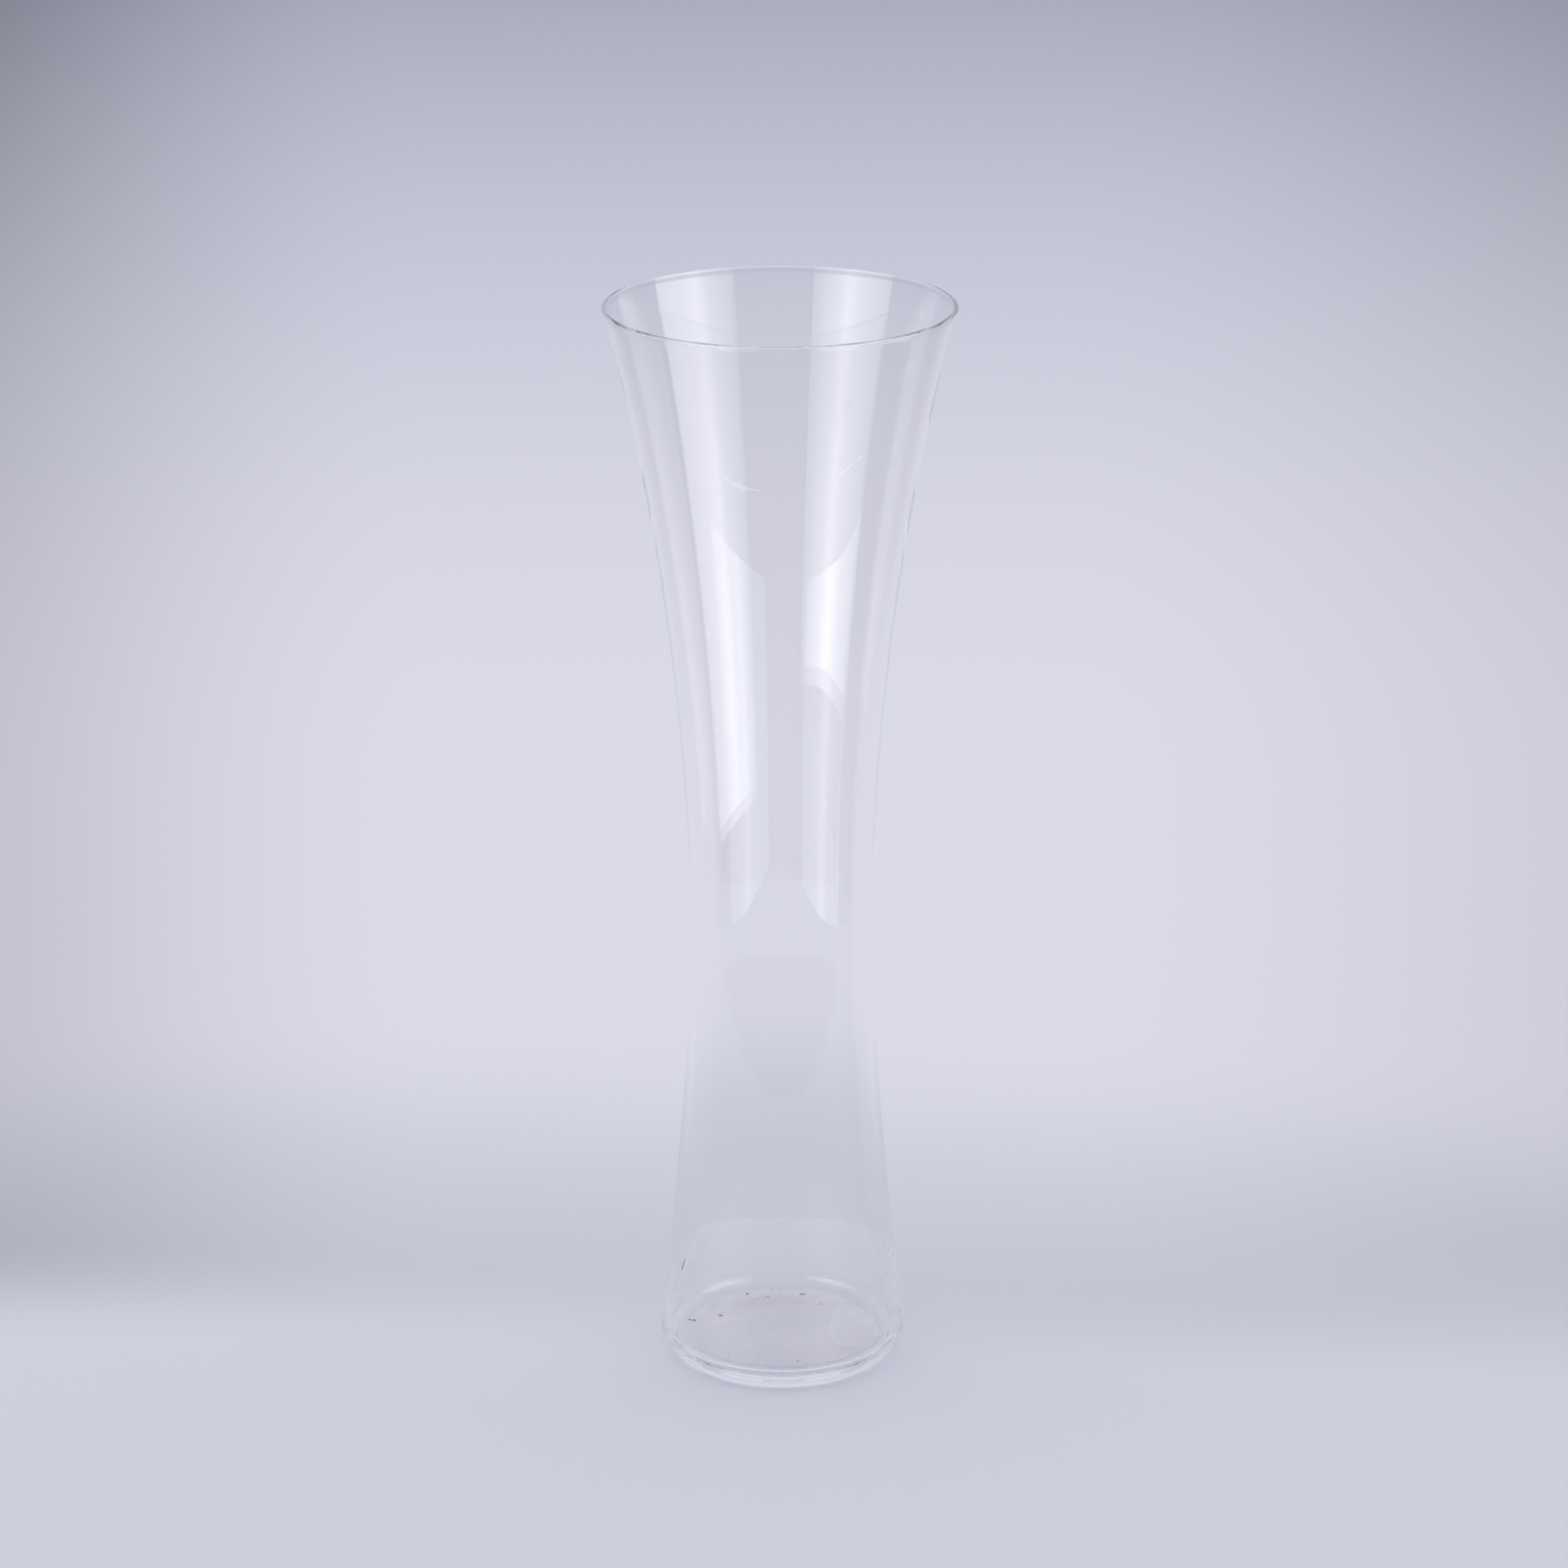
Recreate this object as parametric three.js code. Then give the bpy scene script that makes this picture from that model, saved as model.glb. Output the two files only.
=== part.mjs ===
// Clear glass vase, blown in one piece: a flared mouth, a waist and a wider foot with a thick base.
// Millimetres, +Z up. The origin is the centre of the standing ring, on the table plane.
import * as THREE from 'three';

// Outer shape
const height = 600;
const rimRadius = 94.3;
const waistRadius = 49.8;
const waistHeight = 252;
const footRadius = 68.1;
const rimFlare = 14.9;
const footLean = 6;

// Heel, the rounded turn between the wall of the foot and the table
const heelHeight = 13;
const heelWidth = 9;

// Underside, a flat standing ring round a shallow punt
const puntRadius = 47;
const puntDepth = 1;

// Glass thickness, measured level
const rimWall = 2.2;
const waistWall = 4.2;
const footWall = 4.8;
const baseThickness = 9;

// Inside of the base, where a fillet joins the floor to the wall
const floorRadius = 56;
const filletHeight = 8.5;

// Lip, melted to a bead that swells past the wall on both sides, and its depth down to the plain wall
const lipSwell = 0.25;
const lipRise = 1;
const lipDepth = 4;

// Length of the Bezier handles as a share of the chord; 0.39 makes a quarter turn circular
const wallHandle = 0.31;
const heelHandle = 0.2;
const roundHandle = 0.39;

// Facets
const turnSegments = 48;
const wallSteps = 12;
const roundSteps = 4;
const puntSteps = 4;

// A direction in the profile plane, leaning away from the axis by a number of degrees
function lean(degrees) {
  const angle = THREE.MathUtils.degToRad(degrees);
  return new THREE.Vector2(Math.sin(angle), Math.cos(angle));
}

// A Bezier stretch that leaves one point and reaches the next along the given directions
function sweep(from, fromDirection, to, toDirection, handle) {
  const reach = from.distanceTo(to) * handle;
  const leave = from.clone().addScaledVector(fromDirection, reach);
  const arrive = to.clone().addScaledVector(toDirection, -reach);
  return new THREE.CubicBezierCurve(from, leave, arrive, to);
}

// One side of the wall from the foot to the rim, narrowest at the waist
function wallSide(foot, waist, rim) {
  const upright = lean(0);
  return [
    sweep(foot, footUp, waist, upright, wallHandle),
    sweep(waist, upright, rim, rimUp, wallHandle),
  ];
}

// The same curve followed the other way
function reversed(curve) {
  return new THREE.CubicBezierCurve(curve.v3, curve.v2, curve.v1, curve.v0);
}

// Directions used by more than one corner
const outward = new THREE.Vector2(1, 0);
const inward = new THREE.Vector2(-1, 0);
const footUp = lean(-footLean);
const footDown = footUp.clone().negate();
const rimUp = lean(rimFlare);
const rimDown = rimUp.clone().negate();
const acrossLip = new THREE.Vector2(-rimUp.y, rimUp.x);

// The corners of the profile, each as radius and height
const puntTop = new THREE.Vector2(0, puntDepth);
const puntShoulder = new THREE.Vector2(puntRadius / 2, puntDepth);
const puntEdge = new THREE.Vector2(puntRadius, 0);
const heelBottom = new THREE.Vector2(footRadius - heelWidth, 0);
const heelTop = new THREE.Vector2(footRadius, heelHeight);
const outerWaist = new THREE.Vector2(waistRadius, waistHeight);
const innerWaist = new THREE.Vector2(waistRadius - waistWall, waistHeight);
const filletTop = new THREE.Vector2(footRadius - footWall, baseThickness + filletHeight);
const floorEdge = new THREE.Vector2(floorRadius, baseThickness);
const floorCentre = new THREE.Vector2(0, baseThickness);

// The lip: half an ellipse square to the wall, as high as the vase and as wide as its mouth
const halfLip = rimWall / 2 + lipSwell;
const lipReach = Math.hypot(halfLip * rimUp.y, lipRise * rimUp.x);
const lipCrest = Math.hypot(halfLip * rimUp.x, lipRise * rimUp.y);
const lipCentre = new THREE.Vector2(rimRadius - lipReach, height - lipCrest);
const lipTop = lipCentre.clone().addScaledVector(rimUp, lipRise);
const outerBead = lipCentre.clone().addScaledVector(acrossLip, -halfLip);
const innerBead = lipCentre.clone().addScaledVector(acrossLip, halfLip);
const neck = lipTop.clone().addScaledVector(rimUp, -lipDepth);
const outerLip = neck.clone().addScaledVector(acrossLip, -rimWall / 2);
const innerLip = neck.clone().addScaledVector(acrossLip, rimWall / 2);

const outerWall = wallSide(heelTop, outerWaist, outerLip);
const innerWall = wallSide(filletTop, innerWaist, innerLip);

// The closed profile, up the outside and down the inside, with the number of steps in each stretch
const stretches = [
  [new THREE.QuadraticBezierCurve(puntTop, puntShoulder, puntEdge), puntSteps],
  [new THREE.LineCurve(puntEdge, heelBottom), 1],
  [sweep(heelBottom, outward, heelTop, footUp, heelHandle), roundSteps],
  [outerWall[0], wallSteps],
  [outerWall[1], wallSteps],
  [sweep(outerLip, rimUp, outerBead, rimUp, roundHandle), roundSteps],
  [sweep(outerBead, rimUp, lipTop, acrossLip, roundHandle), roundSteps],
  [sweep(lipTop, acrossLip, innerBead, rimDown, roundHandle), roundSteps],
  [sweep(innerBead, rimDown, innerLip, rimDown, roundHandle), roundSteps],
  [reversed(innerWall[1]), wallSteps],
  [reversed(innerWall[0]), wallSteps],
  [sweep(filletTop, footDown, floorEdge, inward, roundHandle), roundSteps],
  [new THREE.LineCurve(floorEdge, floorCentre), 1],
];

// Points along the whole profile, with each shared corner once
function profilePoints() {
  const points = [puntTop];
  for (const [curve, steps] of stretches) {
    points.push(...curve.getPoints(steps).slice(1));
  }
  return points;
}

// The profile turned about the upright axis
function vaseGlass() {
  const geometry = new THREE.LatheGeometry(profilePoints(), turnSegments);
  geometry.rotateX(Math.PI / 2);
  const glass = new THREE.MeshStandardMaterial({
    color: 0xe6eef2,
    roughness: 0.04,
    metalness: 0,
    transparent: true,
    opacity: 0.35,
  });
  const vase = new THREE.Mesh(geometry, glass);
  vase.name = 'vase_glass';
  return vase;
}

const group = new THREE.Group();
group.add(vaseGlass());

export default group;
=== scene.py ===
# A tall clear glass vase, flared at the mouth and thick in the foot, on a pale studio table.
# Metres, +Z up. The vase stands at the origin and the camera looks along +Y.
import math
import random

import bmesh
import bpy
from mathutils import Matrix, Vector
from mathutils.geometry import interpolate_bezier


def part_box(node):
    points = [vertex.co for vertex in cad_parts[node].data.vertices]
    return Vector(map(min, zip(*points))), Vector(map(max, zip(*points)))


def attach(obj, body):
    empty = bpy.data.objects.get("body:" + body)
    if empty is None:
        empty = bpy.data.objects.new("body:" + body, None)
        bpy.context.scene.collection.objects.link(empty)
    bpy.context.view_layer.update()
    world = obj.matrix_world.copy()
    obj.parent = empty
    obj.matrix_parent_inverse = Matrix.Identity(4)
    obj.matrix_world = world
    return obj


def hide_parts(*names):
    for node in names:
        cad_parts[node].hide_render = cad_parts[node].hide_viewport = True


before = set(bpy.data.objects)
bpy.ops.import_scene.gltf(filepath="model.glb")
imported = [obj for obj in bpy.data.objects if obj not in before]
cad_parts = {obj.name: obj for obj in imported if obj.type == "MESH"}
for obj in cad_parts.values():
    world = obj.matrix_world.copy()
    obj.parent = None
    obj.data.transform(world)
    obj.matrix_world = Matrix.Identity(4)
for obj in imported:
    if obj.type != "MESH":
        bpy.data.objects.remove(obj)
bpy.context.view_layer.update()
mm = 0.001

# The photograph is square, so the sensor's width and the lens give the whole view
camera = {
    "lens": 117.06,
    "sensor": 36.0,
    "place": (0.0035, -2.6288, 1.2215),
    "pitch": -18.67,  # degrees below level
    "roll": 0.12,
    "farthest": 60,
}


def makeCamera():
    data = bpy.data.cameras.new("photoCamera")
    data.lens = camera["lens"]
    data.sensor_width = camera["sensor"]
    data.clip_end = camera["farthest"]
    obj = bpy.data.objects.new("photoCamera", data)
    bpy.context.scene.collection.objects.link(obj)
    obj.location = camera["place"]
    tilt = math.radians(90 + camera["pitch"])
    obj.rotation_euler = (tilt, math.radians(camera["roll"]), 0)
    bpy.context.scene.camera = obj


# Meshes

# Turns a finished bmesh into an object at the origin
def meshObject(name, bm, material, smooth=True):
    mesh = bpy.data.meshes.new(name)
    bm.to_mesh(mesh)
    bm.free()
    mesh.materials.append(material)
    if smooth:
        mesh.polygons.foreach_set("use_smooth", [True] * len(mesh.polygons))
    obj = bpy.data.objects.new(name, mesh)
    bpy.context.scene.collection.objects.link(obj)
    return obj


# The profile is drawn with x as the radius and z as the height
def lean(degrees):
    angle = math.radians(degrees)
    return Vector((math.sin(angle), 0, math.cos(angle)))


def straight(start, end, steps):
    return [start.lerp(end, step / steps) for step in range(steps + 1)]


def sweep(start, startWay, end, endWay, handle, steps):
    reach = (end - start).length * handle
    return interpolate_bezier(start, start + startWay * reach, end - endWay * reach, end, steps + 1)


glass = {
    "height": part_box("vase_glass")[1][2],
    "rimRadius": 94.3 * mm,
    "waistRadius": 49.8 * mm,
    "waistHeight": 252 * mm,
    "footRadius": 68.1 * mm,
    "rimFlare": 14.9,  # degrees outwards from upright
    "footLean": 6.0,
    "heelHeight": 13 * mm,
    "heelWidth": 9 * mm,
    "puntRadius": 47 * mm,
    "puntDepth": 1.0 * mm,
    "rimWall": 2.2 * mm,
    "waistWall": 4.2 * mm,
    "footWall": 4.8 * mm,
    "baseThickness": 9 * mm,
    "floorRadius": 56 * mm,
    "filletHeight": 8.5 * mm,
    "lipSwell": 0.25 * mm,  # how far the melted bead round the rim stands out from the wall on each side
    "lipRise": 1.0 * mm,
    "lipDepth": 4 * mm,  # from the bead's top to where the plain wall starts
    "frontSwell": 0.2,  # share of the swell that is left at the front of the hand-finished lip
    "wallHandle": 0.31,  # Bezier handles as a share of the chord
    "heelHandle": 0.2,
    "roundHandle": 0.39,
    "turnSteps": 360,
}

# How finely each stretch of the profile is drawn; the waist parts a wall's lower stretch from its upper one
profileSteps = {
    "punt": 10,
    "standingRing": 3,
    "heel": 12,
    "outerLower": 110,
    "outerUpper": 36,
    "lip": 8,
    "innerUpper": 30,
    "innerLower": 26,
    "fillet": 12,
    "floor": 6,
}


# The wall's direction at the rim, half the lip's width square to it, and how far the lip reaches outwards and
# upwards from its centre
def lipShape():
    rimUp = lean(glass["rimFlare"])
    halfLip, rise = glass["rimWall"] / 2 + glass["lipSwell"], glass["lipRise"]
    reach = math.hypot(halfLip * rimUp.z, rise * rimUp.x)
    crest = math.hypot(halfLip * rimUp.x, rise * rimUp.z)
    return rimUp, halfLip, reach, crest


def glassProfile():
    upright, outward, inward = lean(0), lean(90), lean(-90)
    footUp = lean(-glass["footLean"])
    rimUp, halfLip, reach, crest = lipShape()
    acrossLip = Vector((-rimUp.z, 0, rimUp.x))
    point = lambda radius, height: Vector((radius, 0, height))

    puntTop = point(0, glass["puntDepth"])
    puntShoulder = point(glass["puntRadius"] / 2, glass["puntDepth"])
    puntEdge = point(glass["puntRadius"], 0)
    heelBottom = point(glass["footRadius"] - glass["heelWidth"], 0)
    heelTop = point(glass["footRadius"], glass["heelHeight"])
    outerWaist = point(glass["waistRadius"], glass["waistHeight"])
    innerWaist = point(glass["waistRadius"] - glass["waistWall"], glass["waistHeight"])
    filletTop = point(glass["footRadius"] - glass["footWall"], glass["baseThickness"] + glass["filletHeight"])
    floorEdge = point(glass["floorRadius"], glass["baseThickness"])
    floorCentre = point(0, glass["baseThickness"])

    # The lip is half an ellipse square to the wall, as high as the vase and as wide as its mouth
    lipCentre = point(glass["rimRadius"] - reach, glass["height"] - crest)
    lipTop = lipCentre + rimUp * glass["lipRise"]
    outerBead = lipCentre - acrossLip * halfLip
    innerBead = lipCentre + acrossLip * halfLip
    neck = lipTop - rimUp * glass["lipDepth"]
    outerLip = neck - acrossLip * glass["rimWall"] / 2
    innerLip = neck + acrossLip * glass["rimWall"] / 2

    # A quadratic curve's handles lie two thirds of the way to its shoulder
    puntLeave = puntTop.lerp(puntShoulder, 2 / 3)
    puntArrive = puntEdge.lerp(puntShoulder, 2 / 3)
    steps = profileSteps
    wall, heel, turn = glass["wallHandle"], glass["heelHandle"], glass["roundHandle"]
    stretches = [
        interpolate_bezier(puntTop, puntLeave, puntArrive, puntEdge, steps["punt"] + 1),
        straight(puntEdge, heelBottom, steps["standingRing"]),
        sweep(heelBottom, outward, heelTop, footUp, heel, steps["heel"]),
        sweep(heelTop, footUp, outerWaist, upright, wall, steps["outerLower"]),
        sweep(outerWaist, upright, outerLip, rimUp, wall, steps["outerUpper"]),
        sweep(outerLip, rimUp, outerBead, rimUp, turn, steps["lip"]),
        sweep(outerBead, rimUp, lipTop, acrossLip, turn, steps["lip"]),
        sweep(lipTop, acrossLip, innerBead, -rimUp, turn, steps["lip"]),
        sweep(innerBead, -rimUp, innerLip, -rimUp, turn, steps["lip"]),
        sweep(innerLip, -rimUp, innerWaist, -upright, wall, steps["innerUpper"]),
        sweep(innerWaist, -upright, filletTop, -footUp, wall, steps["innerLower"]),
        sweep(filletTop, -footUp, floorEdge, inward, turn, steps["fillet"]),
        straight(floorEdge, floorCentre, steps["floor"]),
    ]
    points = [puntTop]
    for stretch in stretches:
        points.extend(stretch[1:])
    return points


# The lip was finished by hand, and its bead is fuller at the back of the mouth than at the front
def evenLip(bm):
    rimUp, _, reach, crest = lipShape()
    centre = glass["rimRadius"] - reach
    for vert in bm.verts:
        below = glass["height"] - vert.co.z
        if below > glass["lipDepth"] * rimUp.z:
            continue
        radius = math.hypot(vert.co.x, vert.co.y)
        across = radius - centre + (below - crest) * rimUp.x / rimUp.z
        past = abs(across) - glass["rimWall"] / 2 / rimUp.z
        front = 0.5 - 0.5 * vert.co.y / radius
        if past > 0:
            vert.co.xy *= 1 - math.copysign(past, across) * front * (1 - glass["frontSwell"]) / radius


# Shallow rings from the making, on the outside of the foot's right side
ripples = {
    "lowest": 20 * mm,
    "highest": 74 * mm,
    "spacing": 9 * mm,
    "swell": 0.4 * mm,
    "middle": 78,  # degrees to the right of the camera
    "reach": 22,  # degrees to each side, where the rings end
}


def rippleWall(bm):
    lowest, highest = ripples["lowest"], ripples["highest"]
    waist, foot = glass["waistRadius"], glass["footRadius"]
    for vert in bm.verts:
        radius, height = math.hypot(vert.co.x, vert.co.y), vert.co.z
        aside = abs(math.degrees(math.atan2(vert.co.x, -vert.co.y)) - ripples["middle"]) / ripples["reach"]
        if not lowest < height < highest or aside > 1:
            continue

        # A parabola runs near enough to the outer wall to tell its points from those of the inner one
        near = waist + (foot - waist) * (1 - height / glass["waistHeight"]) ** 2
        if radius < near - glass["waistWall"] / 2:
            continue
        fade = math.sqrt(math.sin(math.pi * (height - lowest) / (highest - lowest))) * (1 - aside ** 2)
        wave = math.sin(math.tau * (height - lowest) / ripples["spacing"])
        vert.co.xy *= 1 + ripples["swell"] * fade * wave / radius


def makeVase(material):
    bm = bmesh.new()
    verts = [bm.verts.new(p) for p in glassProfile()]
    edges = [bm.edges.new(pair) for pair in zip(verts, verts[1:])]
    bmesh.ops.spin(bm, geom=verts + edges, cent=(0, 0, 0), axis=(0, 0, 1),
                   angle=math.tau, steps=glass["turnSteps"], use_merge=True)
    bmesh.ops.remove_doubles(bm, verts=bm.verts, dist=mm / 1000)
    bmesh.ops.recalc_face_normals(bm, faces=bm.faces)
    evenLip(bm)
    rippleWall(bm)
    vase = meshObject("vase_clear_glass", bm, material)
    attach(vase, "root")
    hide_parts("vase_glass")
    print("vase:", len(vase.data.polygons), "faces")


# Node helpers

def addNode(tree, kind, **values):
    node = tree.nodes.new(kind)
    for name, value in values.items():
        setattr(node, name, value)
    return node


def setInputs(node, **values):
    for name, value in values.items():
        node.inputs[name.replace("_", " ")].default_value = value


# Gives each socket its number, its colour or the output of another node
def feed(tree, sockets, values):
    for socket, value in zip(sockets, values):
        if isinstance(value, (int, float)):
            socket.default_value = value
        elif isinstance(value, tuple):
            socket.default_value = (*value, 1)
        else:
            tree.links.new(value, socket)


def maths(tree, operation, a, b, clamp=False):
    node = addNode(tree, "ShaderNodeMath", operation=operation, use_clamp=clamp)
    feed(tree, node.inputs, (a, b))
    return node.outputs[0]


def mapRange(tree, value, low, high, start=0.0, end=1.0, kind="SMOOTHSTEP"):
    node = addNode(tree, "ShaderNodeMapRange", interpolation_type=kind)
    feed(tree, node.inputs, (value, low, high, start, end))
    return node.outputs[0]


def mixColors(tree, factor, a, b):
    node = addNode(tree, "ShaderNodeMix", data_type="RGBA")
    feed(tree, (node.inputs[0], node.inputs[6], node.inputs[7]), (factor, a, b))
    return node.outputs[2]


def scaleColor(tree, color, factor):
    node = addNode(tree, "ShaderNodeVectorMath", operation="SCALE")
    feed(tree, (node.inputs[0], node.inputs["Scale"]), (color, factor))
    return node.outputs[0]


# Shows the first shader where the factor is 0 and the second where it is 1
def mixShaders(tree, factor, a, b):
    node = addNode(tree, "ShaderNodeMixShader")
    feed(tree, node.inputs, (factor, a, b))
    return node.outputs[0]


def coordinates(tree, kind="Object"):
    return addNode(tree, "ShaderNodeTexCoord").outputs[kind]


def splitVector(tree, vector):
    node = addNode(tree, "ShaderNodeSeparateXYZ")
    tree.links.new(vector, node.inputs[0])
    return node.outputs


def noise(tree, scale):
    node = addNode(tree, "ShaderNodeTexNoise")
    setInputs(node, Scale=scale, Detail=2.0, Roughness=0.5)
    tree.links.new(coordinates(tree), node.inputs["Vector"])
    return node.outputs[0]


# 1 for rays that were mirrored more often than this, 0 for the others
def mirroredOver(tree, times):
    path = addNode(tree, "ShaderNodeLightPath")
    return maths(tree, "GREATER_THAN", path.outputs["Glossy Depth"], times + 0.5)


def newMaterial(name):
    material = bpy.data.materials.new(name)
    material.use_nodes = True
    tree = material.node_tree
    tree.nodes.clear()
    return material, tree, addNode(tree, "ShaderNodeOutputMaterial")


# A glow that isn't sampled as a lamp
def glowShader(material, tree, color, strength=1.0):
    emit = addNode(tree, "ShaderNodeEmission")
    feed(tree, emit.inputs, (color, strength))
    material.cycles.emission_sampling = "NONE"
    return emit.outputs[0]


def glassMaterial():
    material, tree, output = newMaterial("clearGlass")
    shader = addNode(tree, "ShaderNodeBsdfPrincipled")
    setInputs(shader, Base_Color=(1, 1, 1, 1), Roughness=0.0, IOR=1.5, Transmission_Weight=1.0)
    tree.links.new(shader.outputs[0], output.inputs["Surface"])
    absorb = addNode(tree, "ShaderNodeVolumeAbsorption")
    setInputs(absorb, Color=(0.40, 0.50, 0.53, 1), Density=0.2)
    tree.links.new(absorb.outputs[0], output.inputs["Volume"])
    return material


# Colours of the paper behind and under the vase, as they look in the light. The dark colour high up and the
# fold's colour are painted shade.
backdrop = {
    "pale": (0.705, 0.700, 0.812),
    "dark": (0.150, 0.187, 0.270),  # high up, above what the photograph shows
    "table": (0.619, 0.642, 0.722),
    "fold": (0.548, 0.563, 0.650),  # where the paper starts to rise behind the vase
    "lowest": -0.32,  # upward part of the view direction, where the paper starts to darken
    "highest": -0.12,
    "halfView": 0.154,  # sine of the angle from the middle to the edge
}

# How much darker the paper gets to the left and right, and between which places, where 0 is the middle of the
# view and 1 its right edge
sideShades = {
    "left": {"shade": 0.26, "start": -0.45, "end": -1.3},
    "right": {"shade": 0.135, "start": 0.35, "end": 1.3},
}

# The world, where the paper lies past the table's edge and a dim room lies round it
room = {
    "shadeLow": 1.2,  # strength of the side shades where the backdrop is palest
    "shadeRise": 2,  # what is added to it towards the top
    "shadeDepth": 0.6,  # forward part of the direction from which the side shades are full
    "wall": (0.30, 0.30, 0.33),
    "ceiling": (0.52, 0.56, 0.66),
    "wallTop": 0.45,  # upward part of the direction, where the wall starts to turn into the ceiling
    "ceilingFrom": 0.75,
    "piped": (0.85, 0.85, 0.92),  # seen by rays that were mirrored many times inside the wall of the glass
    "pipedOver": 12,  # mirrorings
    "light": (1.0, 1.0, 1.0),
}


# The paper's colour by the upward part of the direction in which the camera sees it, with painted shade that
# darkens it towards the top
def paperColor(tree, z):
    rise = mapRange(tree, z, backdrop["lowest"], backdrop["highest"], kind="LINEAR")
    rise = maths(tree, "POWER", rise, 2)
    return mixColors(tree, rise, backdrop["pale"], backdrop["dark"]), rise


# The share of the paper's light that is left towards both sides
def sideShade(tree, x, strength):
    across = maths(tree, "DIVIDE", x, backdrop["halfView"])
    left, right = (mapRange(tree, across, side["start"], side["end"], 0, side["shade"])
                   for side in sideShades.values())
    return maths(tree, "SUBTRACT", 1.0, maths(tree, "MULTIPLY", maths(tree, "ADD", left, right), strength))


def makeWorld():
    world = bpy.data.worlds.new("studio")
    bpy.context.scene.world = world
    world.use_nodes = True
    tree = world.node_tree
    tree.nodes.clear()
    output = addNode(tree, "ShaderNodeOutputWorld")
    x, y, z = splitVector(tree, coordinates(tree, "Generated"))

    # The paper is palest low down and darker towards the top of the view, in painted shade
    paper, rise = paperColor(tree, z)
    strength = maths(tree, "ADD", room["shadeLow"], maths(tree, "MULTIPLY", rise, room["shadeRise"]))
    strength = maths(tree, "MULTIPLY", strength, mapRange(tree, y, 0.0, room["shadeDepth"]))
    paper = scaleColor(tree, paper, sideShade(tree, x, strength))

    # Mirrored rays that miss the sweep behind the vase see a dim room
    high = mapRange(tree, z, room["wallTop"], room["ceilingFrom"])
    dim = mixColors(tree, high, room["wall"], room["ceiling"])
    dim = mixColors(tree, mirroredOver(tree, room["pipedOver"]), dim, room["piped"])
    color = mixColors(tree, mirroredOver(tree, 0), paper, dim)

    # Rays that left a dull surface, and those of no kind that the camera sees by, meet even light
    path = addNode(tree, "ShaderNodeLightPath")
    seen = maths(tree, "ADD", path.outputs["Is Glossy Ray"], path.outputs["Is Transmission Ray"])
    seen = maths(tree, "ADD", seen, path.outputs["Is Camera Ray"])
    unseen = maths(tree, "SUBTRACT", 1, seen, clamp=True)
    isLighting = maths(tree, "GREATER_THAN", maths(tree, "ADD", path.outputs["Diffuse Depth"], unseen), 0.5)
    color = mixColors(tree, isLighting, color, room["light"])
    shade = addNode(tree, "ShaderNodeBackground")
    tree.links.new(color, shade.inputs["Color"])
    tree.links.new(shade.outputs[0], output.inputs["Surface"])


table = {
    "radius": 0.80,
    "segments": 128,
    "drop": 0.2 * mm,
    "mirroredRadius": 0.72,
    "fadeFrom": 0.45,  # the paper melts into the backdrop between these radii, so that no edge shows
    "fadeTo": 0.792,
    "fold": 0.10,  # distance behind the vase
    "foldSlant": 0.10,  # the fold comes nearer towards the right
    "foldWidth": 0.13,
    "rising": 0.04,  # the fold is left behind from here to where the paper is pale
    "risen": 0.50,
    "shadeDepth": 0.15,  # distance behind the vase from which the side shades are full
}


def tableMaterial():
    material, tree, output = newMaterial("palePaper")
    where = coordinates(tree)
    x, y, _ = splitVector(tree, where)
    # The band where the paper starts to rise behind the vase is darker in painted shade, and the side shades
    # are painted shade too
    back = maths(tree, "ADD", y, maths(tree, "MULTIPLY", x, table["foldSlant"]))
    intoFold = mapRange(tree, back, table["fold"] - table["foldWidth"], table["fold"])
    outOfFold = mapRange(tree, back, table["rising"], table["risen"])
    color = mixColors(tree, intoFold, backdrop["table"], backdrop["fold"])
    color = mixColors(tree, outOfFold, color, backdrop["pale"])
    fromCamera = maths(tree, "ADD", y, -camera["place"][1])
    behind = mapRange(tree, y, 0.0, table["shadeDepth"])
    shade = sideShade(tree, maths(tree, "DIVIDE", x, fromCamera), behind)
    shader = addNode(tree, "ShaderNodeBsdfPrincipled")
    setInputs(shader, Roughness=0.9, Specular_IOR_Level=0.0)
    tree.links.new(scaleColor(tree, color, shade), shader.inputs["Base Color"])

    # Mirrored rays see a sharp edge to the table, other rays none
    distance = addNode(tree, "ShaderNodeVectorMath", operation="LENGTH")
    tree.links.new(where, distance.inputs[0])
    away = distance.outputs["Value"]
    faded = mapRange(tree, away, table["fadeFrom"], table["fadeTo"])
    beyond = maths(tree, "GREATER_THAN", away, table["mirroredRadius"])
    gone = addNode(tree, "ShaderNodeMix", data_type="FLOAT")
    feed(tree, (gone.inputs[0], gone.inputs[2], gone.inputs[3]), (mirroredOver(tree, 0), faded, beyond))
    clear = addNode(tree, "ShaderNodeBsdfTransparent")
    mixed = mixShaders(tree, gone.outputs[0], shader.outputs[0], clear.outputs[0])
    tree.links.new(mixed, output.inputs["Surface"])
    return material


def makeTable():
    bm = bmesh.new()
    bmesh.ops.create_circle(bm, cap_ends=True, cap_tris=False, segments=table["segments"],
                            radius=table["radius"])
    bmesh.ops.translate(bm, verts=bm.verts, vec=(0, 0, -table["drop"]))
    obj = meshObject("table", bm, tableMaterial(), smooth=False)
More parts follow.
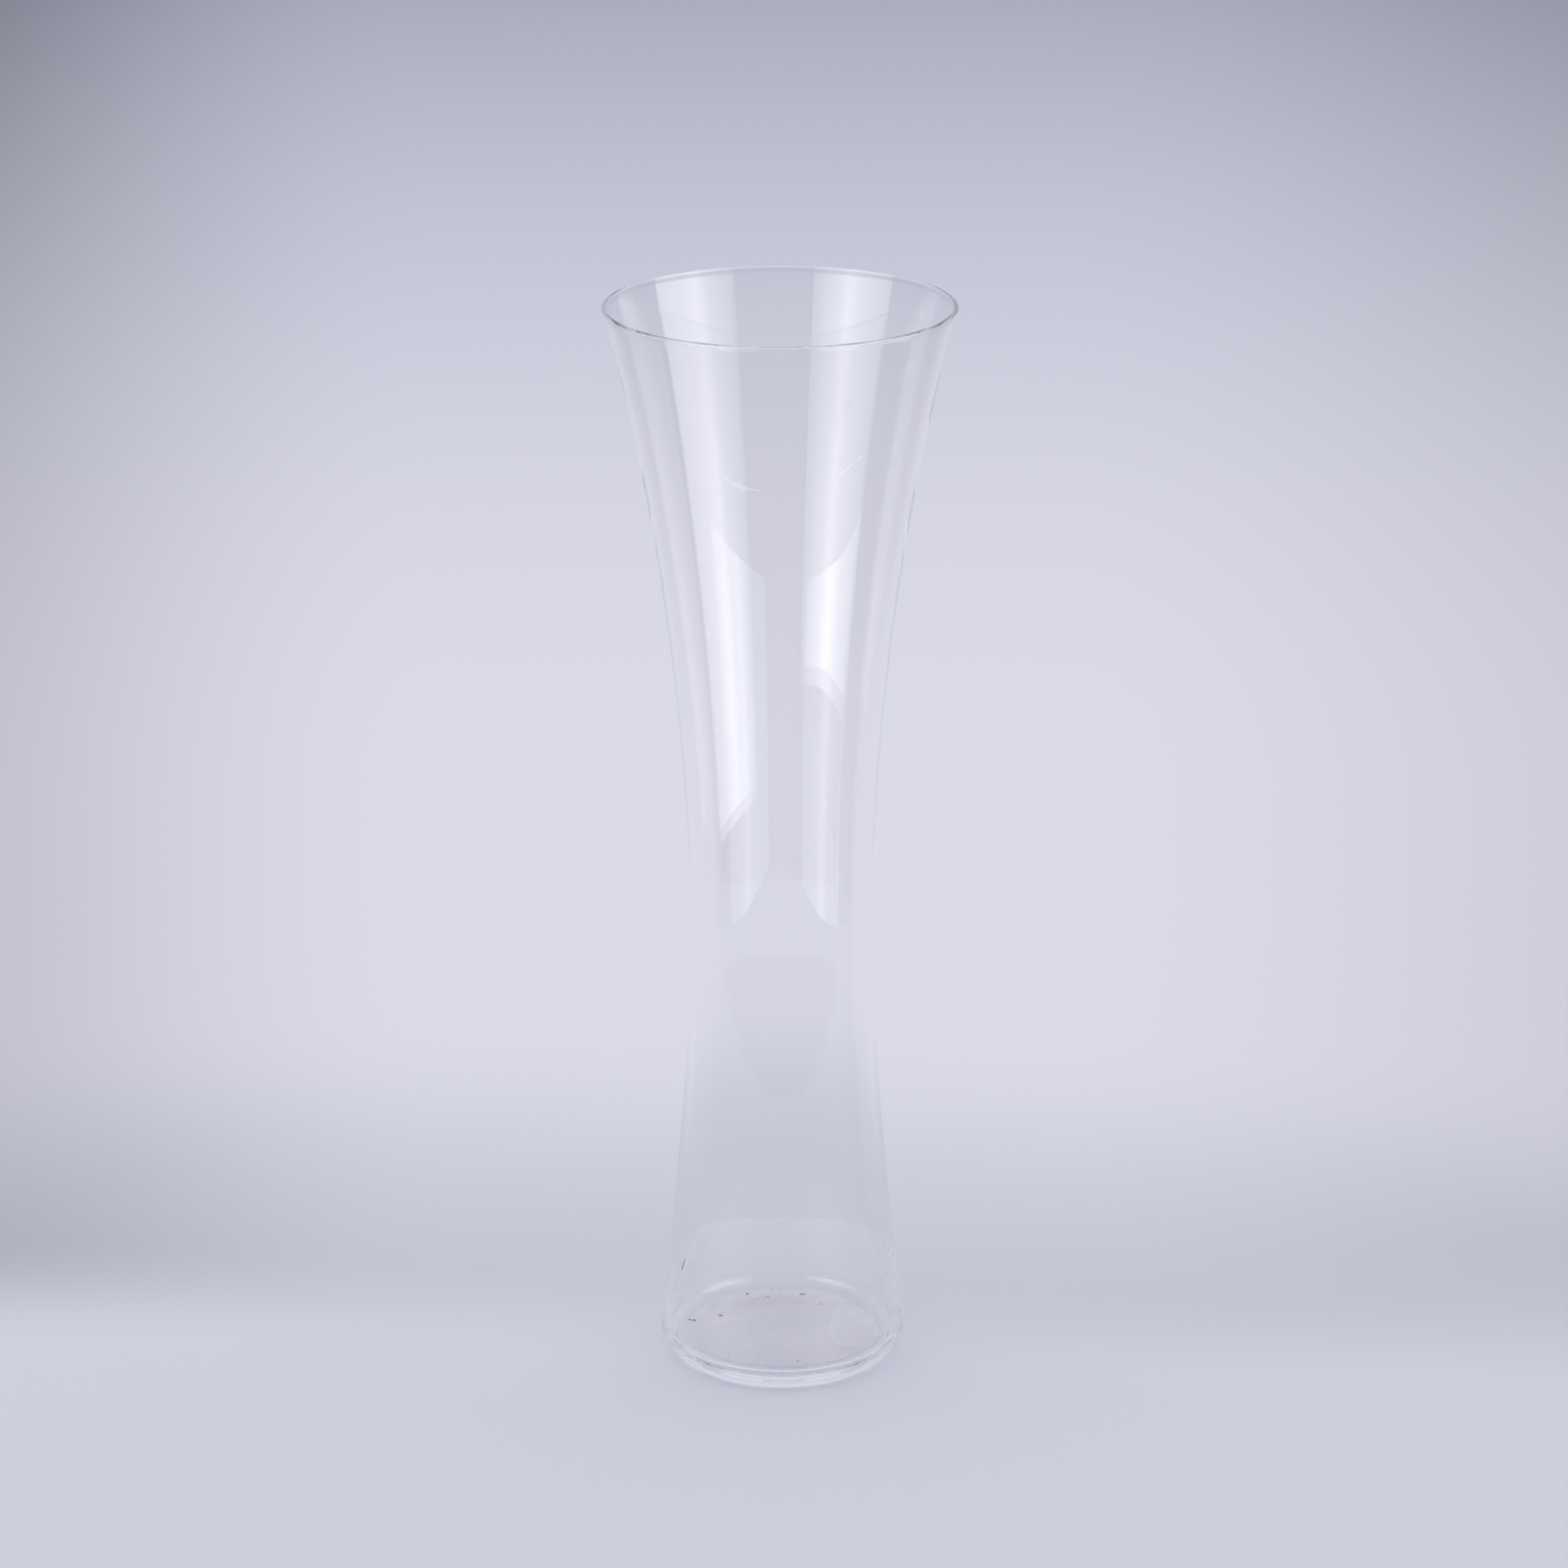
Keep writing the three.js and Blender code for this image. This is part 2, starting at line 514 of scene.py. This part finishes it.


# The paper rises behind the vase in a round sweep, which bent and mirrored rays see. It glows with painted
# light and shade in place of being lit.
sweepPaper = {
    "radius": 0.60,
    "bend": 0.42,  # radius of the curve between the table and the upright part
    "bendSteps": 16,
    "top": 1.30,
    "firstAngle": 98,  # degrees to the right of the camera, where the right softbox ends
    "lastAngle": 273,  # where the left softbox starts
    "turnSteps": 64,
    "foldHeight": 0.06,
    "sideLight": 0.5,  # share of the light that is left at the sides, high up
    "litBehind": 0.5,  # the paper is fully lit this far behind the vase, and dimmest up to dimBeside
    "dimBeside": 0.25,
    "dimFrom": 0.15,  # the sides get dimmer from this height up to dimAbove
    "dimAbove": 0.4,
}


def sweepMaterial():
    material, tree, output = newMaterial("sweepPaper")
    where = coordinates(tree)
    _, y, z = splitVector(tree, where)

    # Each spot glows with the colour that the backdrop shows in its direction from the camera's place,
    # painted shade included, and low down with the fold's painted shade
    offset = addNode(tree, "ShaderNodeVectorMath", operation="SUBTRACT")
    tree.links.new(where, offset.inputs[0])
    offset.inputs[1].default_value = camera["place"]
    direction = addNode(tree, "ShaderNodeVectorMath", operation="NORMALIZE")
    tree.links.new(offset.outputs[0], direction.inputs[0])
    paper, _ = paperColor(tree, splitVector(tree, direction.outputs[0])["Z"])
    low = mapRange(tree, z, 0.0, sweepPaper["foldHeight"])
    color = mixColors(tree, low, backdrop["fold"], paper)

    # Its sides get less light, except low down
    tall = mapRange(tree, z, sweepPaper["dimFrom"], sweepPaper["dimAbove"])
    aside = mapRange(tree, y, sweepPaper["litBehind"], sweepPaper["dimBeside"])
    dimmer = maths(tree, "MULTIPLY", maths(tree, "MULTIPLY", tall, aside), 1 - sweepPaper["sideLight"])
    color = scaleColor(tree, color, maths(tree, "SUBTRACT", 1, dimmer))
    tree.links.new(glowShader(material, tree, color), output.inputs["Surface"])
    return material


def makeSweep():
    bend, foot = sweepPaper["bend"], sweepPaper["radius"] - sweepPaper["bend"]
    points = [Vector((foot, 0, 0))]
    for step in range(1, sweepPaper["bendSteps"] + 1):
        turn = math.radians(90 * step / sweepPaper["bendSteps"])
        points.append(Vector((foot + bend * math.sin(turn), 0, bend - bend * math.cos(turn))))
    points.append(Vector((sweepPaper["radius"], 0, sweepPaper["top"])))
    bm = bmesh.new()
    verts = [bm.verts.new(p) for p in points]
    edges = [bm.edges.new(pair) for pair in zip(verts, verts[1:])]
    first, last = math.radians(sweepPaper["firstAngle"] - 90), math.radians(sweepPaper["lastAngle"] - 90)
    bmesh.ops.rotate(bm, verts=bm.verts, cent=(0, 0, 0), matrix=Matrix.Rotation(first, 3, "Z"))
    bmesh.ops.spin(bm, geom=verts + edges, cent=(0, 0, 0), axis=(0, 0, 1),
                   angle=last - first, steps=sweepPaper["turnSteps"])
    obj = meshObject("sweep", bm, sweepMaterial())
    obj.visible_camera = False
    obj.visible_diffuse = False
    obj.visible_shadow = False


# Softbox faces stand in arcs round the vase. Angles are degrees to the right of the camera, as seen from
# the vase, each stop is an angle with the brightness there, and the bottom edge is given at the first, middle
# and last angle. The low pair shows past the table's edge.
softboxes = {
    "right": {
        "stops": ((32.5, 0.9), (38, 1.7), (50, 2.4), (62, 3.7), (75, 3.0), (98, 2.1)),
        "bottom": (0.013, -0.038, -0.091),
        "top": 1.1,
    },
    "left": {
        "stops": ((-87, 1.3), (-75, 2.1), (-62, 2.8), (-51, 3.9), (-41, 2.8), (-24, 1.3)),
        "bottom": (0.108, 0.192, 0.216),
        "top": 1.1,
    },
    "lowRight": {
        "stops": ((25, 1.5), (40, 2.1), (51, 3.5), (60, 2.1), (76, 1.5)),
        "bottom": (-0.28, -0.248, -0.195),
        "top": -0.185,
    },
    "lowLeft": {
        "stops": ((-65, 1.4), (-50, 1.9), (-41, 3.2), (-32, 1.9), (-15, 1.6)),
        "bottom": (-0.224, -0.268, -0.288),
        "top": -0.185,
    },
}
softbox = {
    "distance": 1.2,
    "peak": 4.0,  # light of this brightness is white, and fainter light is tinted
    "faint": (0.88, 0.93, 1.0),
    "steps": 24,
    "mostMirrorings": 2,
}


def softboxMaterial(name, stops):
    material, tree, output = newMaterial("softboxFace_" + name)
    x, y, _ = splitVector(tree, coordinates(tree))
    angle = maths(tree, "ARCTAN2", x, maths(tree, "MULTIPLY", y, -1))
    first, last = math.radians(stops[0][0]), math.radians(stops[-1][0])
    along = maths(tree, "DIVIDE", maths(tree, "SUBTRACT", angle, first), last - first)
    ramp = addNode(tree, "ShaderNodeValToRGB")
    ramp.color_ramp.interpolation = "EASE"
    marks = ramp.color_ramp.elements
    for index, (degrees, level) in enumerate(stops):
        place = (math.radians(degrees) - first) / (last - first)
        mark = marks[0] if index == 0 else marks[-1] if index == len(stops) - 1 else marks.new(place)
        share = level / softbox["peak"]
        mark.color = (*(share * (tint + (1 - tint) * share) for tint in softbox["faint"]), 1)
    tree.links.new(along, ramp.inputs[0])
    glow = glowShader(material, tree, ramp.outputs[0], softbox["peak"])

    # Only rays that were mirrored, and not too often, see the face
    tooOften = mirroredOver(tree, softbox["mostMirrorings"])
    isSeen = maths(tree, "SUBTRACT", mirroredOver(tree, 0), tooOften)
    clear = addNode(tree, "ShaderNodeBsdfTransparent")
    tree.links.new(mixShaders(tree, isSeen, clear.outputs[0], glow), output.inputs["Surface"])
    return material


# The bottom edge follows a parabola through its first, middle and last heights
def bottomHeight(first, middle, last, along):
    ends = (first * (1 - along) - last * along) * (1 - 2 * along)
    return ends + middle * 4 * along * (1 - along)


def makeSoftbox(name, spec):
    distance, stops = softbox["distance"], spec["stops"]
    bm = bmesh.new()
    bmesh.ops.create_grid(bm, x_segments=softbox["steps"], y_segments=1, size=1)
    for vert in bm.verts:
        along = (vert.co.x + 1) / 2
        angle = math.radians(stops[0][0] + (stops[-1][0] - stops[0][0]) * along)
        height = bottomHeight(*spec["bottom"], along) if vert.co.y < 0 else spec["top"]
        vert.co = (math.sin(angle) * distance, -math.cos(angle) * distance, height)
    obj = meshObject("softbox_" + name, bm, softboxMaterial(name, stops), smooth=False)
    obj.visible_camera = False
    obj.visible_diffuse = False


# Crumbs on the floor of the vase, each a place with a length and a width, in millimetres. A place is measured
# to the right of the axis and away from the camera.
crumbs = {
    "crumbs_dark": {
        "material": "darkCrumb",
        "colors": ((0.03, 0.03, 0.04), (0.12, 0.08, 0.08)),
        "spots": (
            (-53, 12.5, 2.2, 0.9), (-50.5, 11.5, 2.6, 1.1), (-8.5, 43.5, 1.9, 0.5), (-10, 41.5, 0.9, 0.5),
            (-6.5, 53, 0.8, 0.6), (-1.5, 53, 0.8, 0.6), (16, -30, 0.8, 0.6), (-29, -34, 0.8, 0.6),
            (4.5, 6.5, 0.6, 0.4), (-17, 2, 0.5, 0.4),
        ),
    },
    "crumbs_rust": {
        "material": "rustCrumb",
        "colors": ((0.16, 0.05, 0.04), (0.35, 0.18, 0.12)),
        "spots": (
            (-35.5, 18, 2.6, 1.1), (-20.5, 47, 1.9, 1.2), (11, 46.5, 2.0, 1.0), (13, 47, 1.9, 0.9),
            (8.5, -43.5, 1.1, 0.8), (22.5, 33.5, 1.3, 0.7), (-30, 8.5, 1.0, 0.5), (18, 29.5, 0.8, 0.5),
            (17.5, -10.5, 0.7, 0.5), (25.5, 22.5, 0.9, 0.5), (-15, 40.5, 0.8, 0.5),
        ),
    },
}
crumb = {
    "seed": 11,
    "unevenness": 0.25,  # how far a corner may stand in or out, as a share of the radius
    "turn": 0.7,  # radians to each side
    "flatness": 0.6,  # height as a share of the shorter side
    "grain": 1800.0,
}


def floorSpot(x, y, above):
    return Vector((x * mm, y * mm, glass["baseThickness"] + above))


def crumbMaterial(name, dark, light):
    material, tree, output = newMaterial(name)
    shader = addNode(tree, "ShaderNodeBsdfPrincipled")
    setInputs(shader, Roughness=0.85, Specular_IOR_Level=0.2)
    tree.links.new(mixColors(tree, noise(tree, crumb["grain"]), dark, light), shader.inputs["Base Color"])
    tree.links.new(shader.outputs[0], output.inputs["Surface"])
    return material


def makeCrumbs(name, spec):
    dice = random.Random(crumb["seed"])
    bm = bmesh.new()
    for x, y, length, width in spec["spots"]:
        lump = bmesh.ops.create_icosphere(bm, subdivisions=2, radius=0.5)["verts"]
        for vert in lump:
            vert.co *= 1 + dice.uniform(-crumb["unevenness"], crumb["unevenness"])
        size = Vector((length, width, min(length, width) * crumb["flatness"])) * mm
        bmesh.ops.scale(bm, verts=lump, vec=size)
        turn = Matrix.Rotation(dice.uniform(-crumb["turn"], crumb["turn"]), 3, "Z")
        bmesh.ops.rotate(bm, verts=lump, cent=(0, 0, 0), matrix=turn)
        bmesh.ops.translate(bm, verts=lump, vec=floorSpot(x, y, size.z / 2))
    bmesh.ops.recalc_face_normals(bm, faces=bm.faces)
    obj = meshObject(name, bm, crumbMaterial(spec["material"], *spec["colors"]))
    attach(obj, "root")


# The film ends just inside the floor's edge. Its points are places in millimetres, like those of the crumbs.
def filmRing():
    inset, steps = 0.84, 96
    radius = glass["floorRadius"] / mm - inset
    turns = [math.tau * step / steps for step in range(steps)]
    return [(math.cos(turn) * radius, math.sin(turn) * radius) for turn in turns]


# Dull films on the floor. A look's cover is the share of light that is kept back where the film is thinnest
# and thickest, and its cloud is the scale of the noise that goes from one to the other.
films = {
    "floor_film": {
        "look": {"name": "floorFilm", "color": (0.98, 0.90, 0.93), "cover": (0.12, 0.26), "cloud": 30.0},
        "above": 0.04 * mm,
        "outline": filmRing(),
    },
    # A pale see-through patch on the right of the floor
    "pale_patch": {
        "look": {"name": "palePatch", "color": (0.95, 0.98, 1.0), "cover": (0.17, 0.24), "cloud": 40.0},
        "above": 0.08 * mm,
        "outline": (
            (31, 30), (28, 10), (26, -8), (29, -20), (36, -25), (44, -27), (49.5, -18), (52.5, 0), (51, 14),
            (46, 25), (39, 32),
        ),
    },
}
noiseBand = {"thin": 0.3, "thick": 0.7}  # the noise's values where a film is thinnest and thickest


def filmMaterial(look):
    material, tree, output = newMaterial(look["name"])
    shader = addNode(tree, "ShaderNodeBsdfPrincipled")
    setInputs(shader, Roughness=0.9, Specular_IOR_Level=0.0, Base_Color=(*look["color"], 1))
    cover = mapRange(tree, noise(tree, look["cloud"]), noiseBand["thin"], noiseBand["thick"], *look["cover"])
    tree.links.new(cover, shader.inputs["Alpha"])
    tree.links.new(shader.outputs[0], output.inputs["Surface"])
    return material


def makeFilm(name, spec):
    bm = bmesh.new()
    bm.faces.new([bm.verts.new(floorSpot(x, y, spec["above"])) for x, y in spec["outline"]])
    obj = meshObject(name, bm, filmMaterial(spec["look"]), smooth=False)
    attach(obj, "root")


# Fine scratches on the outside of the wall. Each is a line of places, in degrees to the right of the camera
# and millimetres of height.
scratches = {
    "scratches_pale": {
        "look": {"name": "paleScratch", "color": (0.98, 0.98, 1.0), "cover": (0.45, 0.9), "cloud": 300.0},
        "width": 0.35 * mm,
        "lines": (
            ((-26, 530), (-21, 525), (-15, 521), (-8, 519)),
            ((-25, 528), (-19, 522), (-12, 518.5)),
            ((11, 520), (18, 523), (25, 528), (32, 535)),
        ),
    },
    "scratches_dark": {
        "look": {"name": "darkScratch", "color": (0.10, 0.12, 0.25), "cover": (0.7, 0.95), "cloud": 300.0},
        "width": 0.9 * mm,
        "lines": (
            ((-59, 66.5), (-60.2, 63), (-61.5, 58.5)),
            ((83, 455.5), (82, 452)),
        ),
    },
}
scratch = {
    "above": 0.05 * mm,  # distance from the wall
    "steps": 6,  # from one place of a line to the next
    "blunt": 0.3,  # how far into the taper the first end starts, in steps
}


# The outer wall's radius at a height, from the first stretch of the profile that climbs past it
def wallRadius(height):
    points = glassProfile()
    for low, high in zip(points, points[1:]):
        if low.z <= height <= high.z:
            return low.x + (high.x - low.x) * (height - low.z) / (high.z - low.z)


# A smooth line through the places, which swings a little past the last one and back
def smoothLine(places):
    spots = [Vector((degrees, height, 0)) for degrees, height in places]
    guides = [spots[0], *spots, spots[-1], spots[-1]]
    line = []
    for a, b, c, d in zip(guides, guides[1:], guides[2:], guides[3:]):
        for step in range(scratch["steps"]):
            t = step / scratch["steps"]
            bow = (2 * a - 5 * b + 4 * c - d) * t * t + (3 * b - a - 3 * c + d) * t ** 3
            line.append(0.5 * (2 * b + (c - a) * t + bow))
    return line


def makeScratches(name, spec):
    bm = bmesh.new()
    for places in spec["lines"]:
        line = smoothLine(places)
        rails = []
        for index, (spot, following) in enumerate(zip(line, line[1:])):
            height = spot.y * mm
            radius = wallRadius(height) + scratch["above"]
            along = Vector((math.radians(following.x - spot.x) * radius, (following.y - spot.y) * mm))
            taper = math.sin(math.pi * (index + scratch["blunt"]) / len(line))
            aside = Vector((-along.y, along.x)).normalized() * taper * spec["width"] / 2
            pair = []
            for side in (-1, 1):
                angle = math.radians(spot.x) + side * aside.x / radius
                place = (math.sin(angle) * radius, -math.cos(angle) * radius, height + side * aside.y)
                pair.append(bm.verts.new(place))
            rails.append(pair)
        for (a, b), (c, d) in zip(rails, rails[1:]):
            bm.faces.new((a, c, d, b))
    obj = meshObject(name, bm, filmMaterial(spec["look"]), smooth=False)
    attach(obj, "root")


def makeRemains():
    for make, pieces in ((makeCrumbs, crumbs), (makeFilm, films), (makeScratches, scratches)):
        for name, spec in pieces.items():
            make(name, spec)
    count = sum(len(spec["spots"]) for spec in crumbs.values())
    print("remains:", count, "crumbs, film and scratches")


# Light that runs on inside the wall is mirrored hundreds of times, and with fewer bounces the rim turns black
def setQuality():
    scene = bpy.context.scene
    scene.view_settings.view_transform = "Standard"
    scene.cycles.max_bounces = 1024
    scene.cycles.glossy_bounces = 1024
    scene.cycles.transmission_bounces = 32
    scene.cycles.blur_glossy = 0


makeCamera()
makeVase(glassMaterial())
makeRemains()
makeTable()
makeSweep()
makeWorld()
for side, spec in softboxes.items():
    makeSoftbox(side, spec)
print("stage: table, backdrop and", len(softboxes), "softbox faces")
setQuality()
